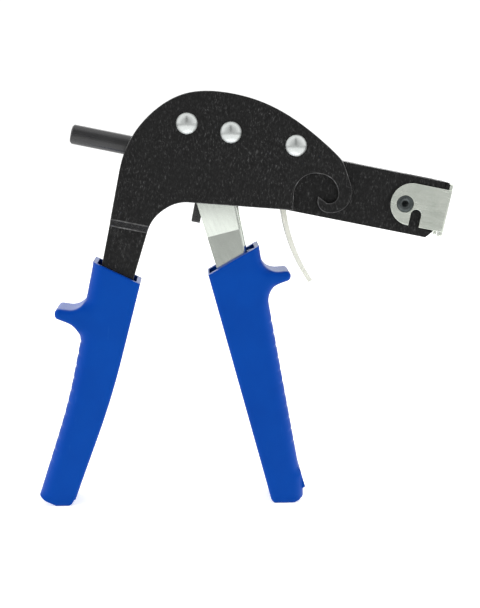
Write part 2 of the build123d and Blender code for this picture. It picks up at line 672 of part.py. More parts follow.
grip(
    "fixed_grip",
    (
        FIXED_RIM[0],
        (-30.9, -80.2),
        (-44.4, -80.9),
        (-43.7, -85.6),
        (-30.0, -88.2),
        (-30.4, -125.0),
        (-36.6, floor_z(-36.6) - BELOW),
        (-19.0, floor_z(-19.0) - BELOW),
        (-10.2, -118.0),
        FIXED_RIM[1],
    ),
    (8.0, 2.2, 2.2, 9.0, 300.0, 4.5, 5.0, 400.0),
    (
        (FIXED_POCKET_REAR, FIXED_RIM[0][1] + PAST_RIM),
        (FIXED_POCKET_REAR, FIXED_POCKET_END),
        (fixed_pocket_front(FIXED_POCKET_END), FIXED_POCKET_END),
        (fixed_pocket_front(FIXED_RIM[1][1]), FIXED_RIM[1][1]),
        (fixed_pocket_front(FIXED_RIM[1][1]), FIXED_RIM[0][1] + PAST_RIM),
    ),
    SHANK_OUT,
)


def moving_pocket_rear(z):
    """Rear wall of the moving grip's pocket."""
    return MOVING_RIM[0][0] + MOVING_REAR_WALL + (MOVING_RIM[0][1] - z) * MOVING_POCKET_SLOPE


MOVING_POCKET_FRONT = MOVING_RIM[1][0] - MOVING_FRONT_WALL

grip(
    "moving_grip",
    (
        MOVING_RIM[1],
        (48.8, -45.8),
        (61.4, -42.1),
        (61.6, -46.6),
        (51.4, -52.8),
        (84.9, -136.2),
        (87.6, -138.4),
        (90.6, floor_z(90.6) - BELOW),
        (75.6, floor_z(75.6) - BELOW),
        MOVING_RIM[0],
    ),
    (8.0, 2.2, 2.2, 9.0, 1.5, 2.4, 3.2, 4.0),
    (
        (moving_pocket_rear(MOVING_RIM[1][1] + PAST_RIM_MOVING), MOVING_RIM[1][1] + PAST_RIM_MOVING),
        (moving_pocket_rear(MOVING_POCKET_END), MOVING_POCKET_END),
        (front_line(MOVING_POCKET_END) + HANDLE_PLAY, MOVING_POCKET_END),
        (MOVING_POCKET_FRONT, MOVING_RIM[1][1]),
        (MOVING_POCKET_FRONT, MOVING_RIM[1][1] + PAST_RIM_MOVING),
    ),
    HANDLE_LOW,
)


# ---- the tool stood up on its grips, centred over its footprint ---------------------------------------------

leaning = [piece.rotate(Axis.Y, TILT) for piece in pieces]
box = Compound(children=leaning).bounding_box()
stand = Location((-(box.min.X + box.max.X) / 2, 0, ROD_HEIGHT))

os.makedirs("parts", exist_ok=True)
for piece in pieces:
    placed = piece.rotate(Axis.Y, TILT).moved(stand)
    placed.label = piece.label
    export_step(placed, f"parts/{piece.label}.step")
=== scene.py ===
import json
import math

import bmesh
import bpy
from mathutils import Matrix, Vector, geometry


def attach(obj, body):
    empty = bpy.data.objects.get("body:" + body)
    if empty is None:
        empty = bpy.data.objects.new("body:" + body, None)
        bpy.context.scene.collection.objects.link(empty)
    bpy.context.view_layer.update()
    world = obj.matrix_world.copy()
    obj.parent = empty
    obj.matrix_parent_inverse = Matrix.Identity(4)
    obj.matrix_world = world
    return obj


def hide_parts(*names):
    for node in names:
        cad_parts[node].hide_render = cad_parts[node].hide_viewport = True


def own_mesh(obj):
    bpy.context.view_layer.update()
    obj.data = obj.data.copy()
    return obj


# Looks of the anchor setting tool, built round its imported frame. Lengths are in metres. "Tool" coordinates are
# millimetres: x along the pull rod towards the nose, y across, z square to the rod, and zero on the rod's axis under
# the rear rivet.

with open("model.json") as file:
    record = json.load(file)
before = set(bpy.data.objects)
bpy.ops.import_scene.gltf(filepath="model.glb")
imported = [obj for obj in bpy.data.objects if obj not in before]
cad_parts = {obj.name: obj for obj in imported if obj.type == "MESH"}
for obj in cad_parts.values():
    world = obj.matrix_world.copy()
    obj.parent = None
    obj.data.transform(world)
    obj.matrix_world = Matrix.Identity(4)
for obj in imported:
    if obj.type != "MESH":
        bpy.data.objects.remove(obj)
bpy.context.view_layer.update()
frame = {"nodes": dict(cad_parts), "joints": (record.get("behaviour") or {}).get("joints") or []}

MM = 0.001
JOINTS = {joint["name"]: joint for joint in frame["joints"]}
ALONG = Vector(JOINTS["drive_slide"]["axis"]).normalized()
ACROSS = Vector((0, 1, 0))
UPRIGHT = ALONG.cross(ACROSS)
PIVOT = Vector(JOINTS["handle_squeeze"]["pos_m"])
RIVET_LINE = 15.4  # rivets above the rod's axis
ROD_POINT = PIVOT - UPRIGHT * RIVET_LINE * MM


def tool(x, y, z):
    """A tool point in the row frame."""
    return ROD_POINT + (ALONG * x + ACROSS * y + UPRIGHT * z) * MM


def tool_xz(point):
    """Tool x and z of a row-frame point."""
    offset = (Vector(point) - ROD_POINT) / MM
    return offset.dot(ALONG), offset.dot(UPRIGHT)


def add_object(name, data):
    """A new object in the scene."""
    made = bpy.data.objects.new(name, data)
    bpy.context.scene.collection.objects.link(made)
    return made


def facing(towards):
    """The rotation that points a lamp's or camera's view along a direction."""
    return towards.to_track_quat("-Z", "Y").to_euler()


# ---- camera -------------------------------------------------------------------------------------------------

TARGET = Vector((-0.0011, 0, 0.0965))
CAMERA_TURN = math.radians(-2.5)
CAMERA_RISE = math.radians(10)
CAMERA_AWAY = 0.56

camera = add_object("camera", bpy.data.cameras.new("camera"))
camera.data.lens = 69.1
camera.data.sensor_width = 36
from_target = Vector(
    (
        math.sin(CAMERA_TURN) * math.cos(CAMERA_RISE),
        -math.cos(CAMERA_TURN) * math.cos(CAMERA_RISE),
        math.sin(CAMERA_RISE),
    )
)
camera.location = TARGET + from_target * CAMERA_AWAY
camera.rotation_euler = facing(-from_target)
bpy.context.scene.camera = camera
bpy.context.scene.view_settings.view_transform = "Standard"


# ---- node materials -----------------------------------------------------------------------------------------

NOISE_LOW, NOISE_HIGH = 0.3, 0.7  # a noise mostly lies between these


class Nodes:
    """A short way to write a procedural material. Scales are in waves or cells per metre."""

    def __init__(self, name):
        self.material = bpy.data.materials.new(name)
        self.material.use_nodes = True
        self.tree = self.material.node_tree
        self.shader = self.tree.nodes["Principled BSDF"]
        self.place = self.add("ShaderNodeTexCoord").outputs["Object"]

    def add(self, kind, inputs=None, **settings):
        """A node with its settings made and its inputs set or linked."""
        node = self.tree.nodes.new(kind)
        for key, value in settings.items():
            setattr(node, key, value)
        for key, value in (inputs or {}).items():
            self.put(node.inputs[key], value)
        return node

    def put(self, socket, value):
        if isinstance(value, bpy.types.NodeSocket):
            self.tree.links.new(value, socket)
        else:
            socket.default_value = value

    def shade(self, **sockets):
        """Set or link the shader's own sockets."""
        for key, value in sockets.items():
            self.put(self.shader.inputs[key.replace("_", " ")], value)

    def stretched(self, turn, scale):
        """The object's coordinates turned, then scaled, for grain that runs one way."""
        turned = self.add("ShaderNodeMapping", {"Vector": self.place, "Rotation": turn})
        return self.add("ShaderNodeMapping", {"Vector": turned.outputs[0], "Scale": scale}).outputs[0]

    def noise(self, scale, detail=3.0, roughness=0.5, vector=None, distortion=0.0):
        return self.add(
            "ShaderNodeTexNoise",
            {
                "Vector": vector or self.place,
                "Scale": scale,
                "Detail": detail,
                "Roughness": roughness,
                "Distortion": distortion,
            },
        ).outputs["Fac"]

    def cell_edges(self, scale, vector):
        """The distance to the nearest edge between cells."""
        return self.add(
            "ShaderNodeTexVoronoi", {"Vector": vector, "Scale": scale}, feature="DISTANCE_TO_EDGE"
        ).outputs["Distance"]

    def ramp(self, factor, stops):
        """Colours, or greys given as one number, at positions from 0 to 1."""
        node = self.add("ShaderNodeValToRGB", {"Fac": factor})
        elements = node.color_ramp.elements
        while len(elements) < len(stops):
            elements.new(0.5)
        for element, (position, colour) in zip(elements, stops):
            element.position = position
            element.color = (*colour, 1) if isinstance(colour, tuple) else (colour, colour, colour, 1)
        return node.outputs["Color"]

    def tones(self, noise, dark, light):
        """Two colours shared out by a noise."""
        return self.ramp(noise, [(NOISE_LOW, dark), (NOISE_HIGH, light)])

    def levels(self, factor, low, high, to_low, to_high):
        return self.add(
            "ShaderNodeMapRange",
            {"Value": factor, "From Min": low, "From Max": high, "To Min": to_low, "To Max": to_high},
        ).outputs["Result"]

    def spread(self, noise, to_low, to_high):
        """A noise's usual range as another range."""
        return self.levels(noise, NOISE_LOW, NOISE_HIGH, to_low, to_high)

    def mix(self, factor, a, b):
        """Two colours mixed. The node's colour sockets are told apart from its other types only by number."""
        return self.add("ShaderNodeMix", {0: factor, 6: a, 7: b}, data_type="RGBA").outputs[2]

    def maths(self, operation, a, b):
        return self.add("ShaderNodeMath", {0: a, 1: b}, operation=operation).outputs[0]

    def bump(self, height, depth, strength):
        return self.add(
            "ShaderNodeBump", {"Height": height, "Distance": depth, "Strength": strength}
        ).outputs["Normal"]


# Turns that lay the object's axes along a part, for grain that follows it.
NO_TURN = (0, 0, 0)
ROD_TURN = (0, -math.atan2(-ALONG.z, ALONG.x), 0)
HANDLE_TURN = (0, math.radians(25.4), 0)


def powder_coat():
    """Black powder coat with a fine leather-like wrinkle, pale specks painted in as glints, slightly lighter
    patches, and painted shade at the bottom of the creases.
    """
    # the second tone is painted shade for the creases, the third the pale tone of painted glints
    coat, crease_shade, glint_speck = 0.0048, 0.002, 0.07
    m = Nodes("powder_coat")
    sway = m.maths("MULTIPLY", m.noise(240, detail=2), 0.0022)
    swayed = m.add("ShaderNodeCombineXYZ", {0: sway, 2: sway}).outputs[0]
    shift = m.add("ShaderNodeVectorMath", {0: m.place, 1: swayed}, operation="ADD").outputs[0]
    creased = m.add("ShaderNodeMapping", {"Vector": shift, "Scale": (1.0, 1.0, 0.42)}).outputs[0]
    crease = m.levels(m.cell_edges(980, creased), 0.0, 0.25, 0.0, 1.0)
    fine = m.noise(2300, detail=2, roughness=0.6)
    height = m.maths("ADD", crease, m.maths("MULTIPLY", fine, 0.8))
    specks = m.noise(1350, detail=3, roughness=0.75, vector=creased)
    # pale specks: painted glints of the wrinkled coat, on its speckled black
    glint_speckled = m.ramp(specks, [(0.45, coat), (0.55, coat * 2.6), (0.69, glint_speck)])
    patches = m.levels(m.noise(60, detail=4, roughness=0.6), 0.38, 0.62, 0, 0.7)
    tone = m.mix(patches, glint_speckled, (coat * 1.8, coat * 1.85, coat * 1.85, 1))
    # painted shade: the colour darkens towards the bottom of each crease
    crease_shade_share = m.levels(crease, 0.0, 1.0, 0.7, 0.0)
    m.shade(
        Base_Color=m.mix(crease_shade_share, tone, (crease_shade, crease_shade, crease_shade, 1)),
        Roughness=m.spread(m.noise(900, detail=2), 0.40, 0.62),
        Normal=m.bump(height, depth=0.00022, strength=0.8),
        Specular_IOR_Level=0.14,
        Coat_Weight=0.2,
        Coat_Roughness=0.24,
    )
    return m.material


def edge_highlight_coat():
    """The coat along a sheared edge, thinner and smoother, painted lighter in stretches as a highlight along the
    edge.
    """
    coat = 0.008
    m = Nodes("edge_highlight_coat")
    highlight_noise = m.noise(420, detail=4, roughness=0.65)
    # painted highlight: these lighter greys stand in for the gloss along the plates' edges
    painted_highlight = m.ramp(highlight_noise, [(0.35, 0.015), (0.55, 0.05), (0.75, 0.16)])
    stretches = m.levels(m.noise(38, detail=3), 0.42, 0.62, 0.0, 1.0)
    m.shade(
        Base_Color=m.mix(stretches, (coat, coat, coat, 1), painted_highlight),
        Roughness=m.spread(highlight_noise, 0.42, 0.28),
        Normal=m.bump(m.noise(1500, detail=2), depth=0.00005, strength=0.4),
    )
    return m.material


def black_oxide():
    """Satin blackened steel with drawing lines along the rod."""
    m = Nodes("black_oxide")
    lines = m.noise(1, detail=3, roughness=0.6, vector=m.stretched(ROD_TURN, (40, 2600, 2600)))
    m.shade(
        Base_Color=m.tones(m.noise(90), (0.009, 0.009, 0.010), (0.018, 0.018, 0.019)),
        Roughness=m.spread(lines, 0.24, 0.36),
        Normal=m.bump(m.maths("ADD", lines, m.noise(1400, detail=2)), depth=0.00003, strength=0.5),
        Specular_IOR_Level=0.75,
    )
    return m.material


def metal(name, dark, light, clouds, roughness, marks, grain, depth, strength):
    """Bare metal between two tints: clouds is a noise's scale, marks and grain are a scale, a detail and so on."""
    m = Nodes(name)
    m.shade(
        Base_Color=m.tones(m.noise(clouds), dark, light),
        Metallic=1.0,
        Roughness=m.spread(m.noise(*marks), *roughness),
        Normal=m.bump(m.noise(*grain), depth, strength),
    )
    return m.material


def zinc(name, turn, scale, dark, light, smooth, rough, metallic=1.0):
    """Zinc plate with a faint rolled grain and cloudy passivation."""
    m = Nodes(name)
    grain = m.noise(1, detail=4, roughness=0.6, vector=m.stretched(turn, scale))
    cloud = m.noise(85, detail=4, roughness=0.6, distortion=0.6)
    spots = m.noise(650, detail=3, roughness=0.6)
    tint = m.ramp(cloud, [(0.28, dark), (0.72, light)])
    m.shade(
        Base_Color=m.mix(m.levels(spots, 0.45, 0.75, 0.0, 0.35), tint, (*light, 1)),
        Metallic=metallic,
        Roughness=m.spread(grain, smooth, rough),
        Normal=m.bump(m.maths("ADD", grain, m.maths("MULTIPLY", spots, 0.7)), depth=0.00002, strength=0.3),
    )
    return m.material


def blue_plastic():
    """Satin moulded plastic with a fine spark-eroded grain and faint upright scuffs."""
    m = Nodes("blue_plastic")
    grain = m.noise(1900, detail=3, roughness=0.6)
    cloud = m.noise(32, detail=3, roughness=0.6)
    streaks = m.noise(1, detail=4, roughness=0.65, vector=m.stretched(NO_TURN, (420, 420, 60)))
    scuffs = m.maths("MULTIPLY", m.ramp(streaks, [(0.66, 0.0), (0.8, 1.0)]), 0.12)
    tone = m.tones(cloud, (0.0001, 0.029, 0.235), (0.0004, 0.038, 0.275))
    m.shade(
        Base_Color=m.mix(scuffs, tone, (0.06, 0.2, 0.6, 1)),
        Roughness=m.spread(grain, 0.38, 0.52),
        Normal=m.bump(grain, depth=0.00003, strength=0.35),
        Specular_IOR_Level=0.28,
        Specular_Tint=(0.15, 0.62, 1.0, 1),
    )
    return m.material


POWDER = powder_coat()
EDGE_HIGHLIGHT = edge_highlight_coat()
OXIDE = black_oxide()
PIN = metal(  # dark, but polished enough to catch the light round its dimple
    "pin_steel",
    dark=(0.07, 0.082, 0.082),
    light=(0.13, 0.145, 0.145),
    clouds=500,
    roughness=(0.26, 0.36),
    marks=(1500, 3),
    grain=(1300, 2),
    depth=0.00002,
    strength=0.4,
)
STEEL = metal(  # polished, with faint turning marks
    "bright_steel",
    dark=(0.66, 0.69, 0.675),
    light=(0.74, 0.77, 0.755),
    clouds=300,
    roughness=(0.26, 0.33),
    marks=(1200, 4, 0.6),
    grain=(900, 3),
    depth=0.000012,
    strength=0.5,
)
WIRE = metal(
    "spring_wire",
    dark=(0.3, 0.3, 0.31),
    light=(0.46, 0.46, 0.47),
    clouds=500,
    roughness=(0.25, 0.4),
    marks=(1800, 3),
    grain=(2500, 2),
    depth=0.00002,
    strength=0.4,
)
ZINC = zinc("zinc", ROD_TURN, (70, 900, 900), (0.78, 0.84, 0.75), (0.94, 0.98, 0.89), 0.16, 0.30)
ZINC_HANDLE = zinc("zinc_handle", HANDLE_TURN, (900, 900, 70), (0.78, 0.83, 0.76), (0.85, 0.90, 0.83), 0.10, 0.16)
ZINC_LEVER = zinc("zinc_lever", NO_TURN, (600, 600, 60), (0.74, 0.75, 0.67), (0.82, 0.83, 0.75), 0.2, 0.3, 0.5)
BLUE = blue_plastic()

# The CAD nodes that stay: their material, and how wide their sharp edges are broken, in millimetres.
FINISH = {
    "side_plate_near": (POWDER, 0.35),
    "side_plate_far": (POWDER, 0.35),
    "nose_channel": (POWDER, 0.25),
    "rear_guide": (POWDER, 0.3),
    "pivot_bush": (STEEL, 0),
    "centre_spacer": (STEEL, 0),
    "nose_pin_near": (PIN, 0),
    "nose_pin_far": (PIN, 0),
    "drive_pin": (STEEL, 0),
    "drive_plate_rear": (OXIDE, 0.2),
    "drive_plate_front": (OXIDE, 0.2),
    "pull_rod": (OXIDE, 0),
    "puller_jaw": (OXIDE, 0.3),
    "jaw_pin": (STEEL, 0),
    "handle_channel": (ZINC_HANDLE, 0.5),
    "release_lever": (ZINC_LEVER, 0.3),
    "nose_plate": (ZINC, 0.22),
}
WELD_DISTANCE = 0.000002
FLAT_ANGLE = math.radians(0.15)  # faces within this are one face
BREAK_ANGLE = math.radians(35)  # edges sharper than this are broken
CRISP_ANGLE = math.radians(50)  # edges sharper than this are shaded sharp
BEND_ANGLE = math.radians(2.5)  # the same for the handle, whose flanges' slight bend shows as a line


def crisp_edges(angle):
    """A node group that shades a mesh smooth except at edges sharper than an angle."""
    group = bpy.data.node_groups.new("crisp", "GeometryNodeTree")
    group.interface.new_socket("Geometry", in_out="INPUT", socket_type="NodeSocketGeometry")
    group.interface.new_socket("Geometry", in_out="OUTPUT", socket_type="NodeSocketGeometry")
    enter, leave = group.nodes.new("NodeGroupInput"), group.nodes.new("NodeGroupOutput")
    faces = group.nodes.new("GeometryNodeSetShadeSmooth")
    faces.domain = "FACE"
    edges = group.nodes.new("GeometryNodeSetShadeSmooth")
    edges.domain = "EDGE"
    turn = group.nodes.new("GeometryNodeInputMeshEdgeAngle")
    flat = group.nodes.new("FunctionNodeCompare")
    flat.operation = "LESS_THAN"
    flat.inputs[1].default_value = angle
    link = group.links.new
    link(turn.outputs["Unsigned Angle"], flat.inputs[0])
    link(enter.outputs[0], faces.inputs["Geometry"])
    link(faces.outputs[0], edges.inputs["Geometry"])
    link(flat.outputs[0], edges.inputs["Shade Smooth"])
    link(edges.outputs[0], leave.inputs[0])
    return group


def finish_node(name, material, edge):
    """Give a CAD node its material, clean its shading and break its sharp edges."""
    piece = frame["nodes"][name]
    mesh = piece.data
    mesh.materials.clear()
    mesh.materials.append(material)
    weld = piece.modifiers.new("weld", "WELD")
    weld.merge_threshold = WELD_DISTANCE
    if edge:
        flatten = piece.modifiers.new("flatten", "DECIMATE")
        flatten.decimate_type = "DISSOLVE"
        flatten.angle_limit = FLAT_ANGLE
        bevel = piece.modifiers.new("broken_edges", "BEVEL")
        bevel.width = edge * MM
        bevel.segments = 2
        bevel.limit_method = "ANGLE"
        bevel.angle_limit = BREAK_ANGLE
        bevel.use_clamp_overlap = True
        # the broken edges of the side plates take the painted edge highlight
        if name.startswith("side_plate"):
            mesh.materials.append(EDGE_HIGHLIGHT)
            bevel.material = 1
    crisp = piece.modifiers.new("crisp", "NODES")
    crisp.node_group = crisp_edges(BEND_ANGLE if name == "handle_channel" else CRISP_ANGLE)
    shading = piece.modifiers.new("shading", "WEIGHTED_NORMAL")
    shading.keep_sharp = True
    shading.weight = 100


for node_name, (node_finish, broken_edge) in FINISH.items():
    finish_node(node_name, node_finish, broken_edge)


# ---- meshes and pieces --------------------------------------------------------------------------------------

def take_mesh(work, name):
    """The mesh of a bmesh, which is freed."""
    mesh = bpy.data.meshes.new(name)
    work.to_mesh(mesh)
    work.free()
    return mesh


def closed_mesh(work, name):
    """The mesh of a closed bmesh, with its faces turned outward."""
    bmesh.ops.recalc_face_normals(work, faces=work.faces)
    return take_mesh(work, name)


def shade_smooth(mesh, sharp_angle=None):
    """Shade a mesh smooth, except at edges sharper than an angle in degrees."""
    for polygon in mesh.polygons:
        polygon.use_smooth = True
    if sharp_angle:
        mesh.set_sharp_from_angle(angle=math.radians(sharp_angle))


def new_piece(name, mesh, body, node):
    """A visual piece that rides on a body and stands for a CAD node."""
    piece = add_object(name, mesh)
    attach(piece, body)
    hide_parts(node)
    return piece


def prism(name, corners, half):
    """A prism across the tool, from tool (x, z) corners."""
    work = bmesh.new()
    near = [work.verts.new(tool(x, -half, z)) for x, z in corners]
    far = [work.verts.new(tool(x, half, z)) for x, z in corners]
    work.faces.new(near)
    work.faces.new(reversed(far))
    for i in range(len(corners)):
        j = (i + 1) % len(corners)
        work.faces.new((near[j], near[i], far[i], far[j]))
    return closed_mesh(work, name)


def combine(piece, other_mesh, operation):
    """Cut or join a closed mesh with a piece, for good."""
    other = add_object("combine", other_mesh)
    step = piece.modifiers.new("combine", "BOOLEAN")
    step.operation = operation
    step.object = other
    step.solver = "EXACT"
    combined = bpy.data.meshes.new_from_object(piece.evaluated_get(bpy.context.evaluated_depsgraph_get()))
    piece.modifiers.clear()
    piece.data = combined
    bpy.data.objects.remove(other)


# ---- grips --------------------------------------------------------------------------------------------------

OUTLINE_Y = 8.75  # where a grip's outline is read from the CAD, inside its own rounded edges
OUTLINE_STEP = 0.45  # between outline points
CORNER_ANGLE = math.radians(25)  # turns sharper than this stay where they are
NO_LENGTH = 1e-6
SAME_POINT = 0.01


def section_loop(node, height):
    """The outline of a CAD node where the plane y = height cuts it, as tool (x, z) points in order.

    It starts at its lowest point and runs counter-clockwise whatever the mesh's order, so the grooves never move."""
    work = bmesh.new()
    work.from_mesh(frame["nodes"][node].data)
    bmesh.ops.remove_doubles(work, verts=work.verts, dist=WELD_DISTANCE)
    everything = work.verts[:] + work.edges[:] + work.faces[:]
    cut = bmesh.ops.bisect_plane(
        work, geom=everything, plane_co=(0, height * MM, 0), plane_no=(0, 1, 0)
    )["geom_cut"]
    edges = {item: None for item in cut if isinstance(item, bmesh.types.BMEdge)}  # a dict keeps its order
    longest = []
    while edges:
        edge, _ = edges.popitem()
        loop = [edge.verts[0], edge.verts[1]]
        while True:
            step = next((e for e in loop[-1].link_edges if e in edges), None)
            if step is None:
                break
            del edges[step]
            loop.append(step.other_vert(loop[-1]))
        if len(loop) > len(longest):
            longest = loop
    points = [tool_xz(vert.co) for vert in longest[:-1]]
    work.free()
    if sum(ax * bz - bx * az for (ax, az), (bx, bz) in zip(points, points[1:] + points[:1])) < 0:
        points.reverse()
    first = min(range(len(points)), key=lambda i: points[i][1])
    return points[first:] + points[:first]


def turn_at(before, here, after):
    """How sharply a line turns at a point."""
    a = Vector(here) - Vector(before)
    b = Vector(after) - Vector(here)
    return abs(a.angle_signed(b)) if a.length > NO_LENGTH and b.length > NO_LENGTH else 0.0


def resample(points, spacing):
    """The closed outline with even spacing between its sharp corners."""
    points = [p for i, p in enumerate(points) if (Vector(p) - Vector(points[i - 1])).length > SAME_POINT]
    count = len(points)
    corners = [
        i for i in range(count) if turn_at(points[i - 1], points[i], points[(i + 1) % count]) > CORNER_ANGLE
    ]
    result = []
    for first, last in zip(corners, corners[1:] + [corners[0] + count]):
        run = [Vector(points[i % count]) for i in range(first, last + 1)]
        lengths = [0.0]
        for a, b in zip(run, run[1:]):
            lengths.append(lengths[-1] + (b - a).length)
        steps = max(1, round(lengths[-1] / spacing))
        at = 0
        for step in range(steps):
            goal = lengths[-1] * step / steps
            while lengths[at + 1] < goal:
                at += 1
            share = (goal - lengths[at]) / (lengths[at + 1] - lengths[at])
            result.append(run[at].lerp(run[at + 1], share))
    return result


def rounding(depth, radius):
    """How far a rounded edge has dropped, at a depth inside the outline."""
    return 0.0 if depth >= radius else radius - math.sqrt(radius**2 - (radius - depth) ** 2)


INSETS = (0.12, 0.4, 0.9, 1.6, 2.5, 3.4, 4.4, 5.6, 6.8)  # rings of points inside the outline, for its rounding
INSET_THINNING = 1.2  # a ring has as many times fewer points than the outline as this goes into its inset
INSET_CLEAR = 0.97  # a ring's point stays if it is at least this share of its inset from the outline
GRID = 3.0  # between the points of the middle
GRID_GAP = 0.8  # between the last ring and the middle
SIDE_ROWS = 8  # of faces from one rounded edge to the other
BLEND_PASSES = 14  # that even out the edge radius along the outline
REACH = 16  # outline points on each side that may round a point
GROOVE_PITCH = 6.0
GROOVE_WIDTH = 0.55
GROOVE_DEPTH = 0.5
GROOVE_FADE = 3.2  # how far a groove runs onto the face


def grip_mesh(name, node, half, edge_of):
    """A moulded grip: the CAD outline with a different roundness along each edge and grooves on its palm side.

    edge_of(x, z) gives the edge radius and the share of groove depth at an outline point."""
    outline = resample(section_loop(node, OUTLINE_Y), OUTLINE_STEP)
    count = len(outline)
    inward = []
    for i in range(count):
        run = (outline[(i + 1) % count] - outline[i - 1]).normalized()
        inward.append(Vector((-run.y, run.x)))
    facts = [edge_of(p.x, p.y) for p in outline]
    radii = [radius for radius, _ in facts]
    for _ in range(BLEND_PASSES):
        radii = [(radii[i - 1] + 2 * radii[i] + radii[(i + 1) % count]) / 4 for i in range(count)]
    travel, grooves = 0.0, []
    for i in range(count):
        travel += (outline[i] - outline[i - 1]).length
        phase = (travel % GROOVE_PITCH) - GROOVE_PITCH / 2
        grooves.append(GROOVE_DEPTH * facts[i][1] * math.exp(-((phase / GROOVE_WIDTH) ** 2)))

    def nearest(point):
        index = min(range(count), key=lambda i: (outline[i] - point).length_squared)
        return index, (outline[index] - point).length

    points = list(outline)
    sources = [(i, 0.0) for i in range(count)]
    for inset in INSETS:
        for i in range(0, count, max(1, round(inset / INSET_THINNING))):
            spot = outline[i] + inward[i] * inset
            index, depth = nearest(spot)
            if depth >= INSET_CLEAR * inset:
                points.append(spot)
                sources.append((index, depth))
    low = Vector((min(p.x for p in outline), min(p.y for p in outline)))
    high = Vector((max(p.x for p in outline), max(p.y for p in outline)))
    for row in range(int((high.y - low.y) / GRID)):
        for column in range(int((high.x - low.x) / GRID)):
            spot = low + Vector(((column + 0.5 + 0.5 * (row % 2)) * GRID, (row + 0.5) * GRID))
            index, depth = nearest(spot)
            if depth > INSETS[-1] + GRID_GAP and (outline[index] - spot).dot(inward[index]) < 0:
                points.append(spot)
                sources.append((index, depth))
    flat, _, faces, origin, _, _ = geometry.delaunay_2d_cdt(
        points, [(i, (i + 1) % count) for i in range(count)], [], 1, 0.0001
    )
    work = bmesh.new()
    near, far = [], []
    for spot, origins in zip(flat, origin):
        index, depth = sources[origins[0]] if origins else nearest(spot)
        drop = max(
            rounding((outline[j % count] - spot).length, radii[j % count])
            for j in range(index - REACH, index + REACH + 1)
        )
        if depth < NO_LENGTH:
            drop = radii[index]
        spot = spot + inward[index] * (grooves[index] * max(0.0, 1 - depth / GROOVE_FADE) ** 2)
        near.append(work.verts.new(tool(spot.x, -(half - drop), spot.y)))
        far.append(work.verts.new(tool(spot.x, half - drop, spot.y)))
    for face in faces:
        work.faces.new([near[i] for i in face])
        work.faces.new([far[i] for i in reversed(face)])
    rows = [near[:count]]
    for row in range(1, SIDE_ROWS):
        share = 1 - 2 * row / SIDE_ROWS
        level = []
        for i in range(count):
            spot = outline[i] + inward[i] * grooves[i]
            level.append(work.verts.new(tool(spot.x, -(half - radii[i]) * share, spot.y)))
        rows.append(level)
    rows.append(far[:count])
    for upper, lower in zip(rows, rows[1:]):
        for i in range(count):
            j = (i + 1) % count
            work.faces.new((upper[j], upper[i], lower[i], lower[j]))
    mesh = closed_mesh(work, name)
    shade_smooth(mesh)
    return mesh


GRIP_HALF = 11.0
PALM_RADIUS = 6.0  # roundness of a grip's palm side
FINGER_RADIUS = 1.7  # of the side that faces the other grip
HORN_RADIUS = 1.9
RIM_RADIUS = 0.5
FOOT_RADIUS = 1.1
RIM_BAND = 0.6  # how far under the line of its mouth a grip's edge counts as its rim


def fixed_edge(x, z):
    """Edge radius and share of groove depth at a point of the fixed grip's outline."""
    mouth = -55.8 - (x + 30.7) * 0.26
    if z > -62.6 and z > mouth - RIM_BAND:
        return RIM_RADIUS, 0.0
    if x < -31.4 and z > -92:  # the horn
        return HORN_RADIUS, 0.0
    if z < -173:  # the foot
        return FOOT_RADIUS, 0.0
    middle = -20.4 - max(0.0, -110 - z) * 0.09  # between the palm and finger sides
    if x < middle:
        return PALM_RADIUS, 1.0 if -158 < z < -92 else 0.0
    return FINGER_RADIUS, 0.0


def moving_edge(x, z):
    """Edge radius and share of groove depth at a point of the moving grip's outline."""
    mouth = -51.6 + (x - 23.2) * 0.874
    if z > mouth - RIM_BAND and x < 44.4:
        return RIM_RADIUS, 0.0
    if x > 52.0 and z > -50.5:  # the horn
        return HORN_RADIUS, 0.0
    if z < -152.5:  # the foot
        return FOOT_RADIUS, 0.0
    middle = 34 + (-52 - z) * 0.44  # between the finger and palm sides
    if x > middle:  # the palm side, tighter under the horn
        return PALM_RADIUS * (0.75 if z > -60 else 1.0), 1.0 if -126 < z < -64 else 0.0
    return FINGER_RADIUS, 0.0


def finish_grip(name, node, body, edge_of, pocket, pocket_half, cuts, ribs):
    """A grip with its pocket and cuts taken out and its ribs put in, all from tool (x, z) corners."""
    piece = new_piece(name, grip_mesh(name, node, GRIP_HALF, edge_of), body, node)
    combine(piece, prism("pocket", pocket, pocket_half), "DIFFERENCE")
    for corners in cuts:
        combine(piece, prism("cut", corners, 2 * GRIP_HALF), "DIFFERENCE")
    for corners, rib_half in ribs:
        combine(piece, prism("rib", corners, rib_half), "UNION")
    piece.data.materials.clear()
    piece.data.materials.append(BLUE)
    shade_smooth(piece.data, sharp_angle=38)


RIB_HALF = 1.4  # half thickness of the ribs in a grip's mouth
LUG_HALF = 8.0  # of the small lug low on the moving grip

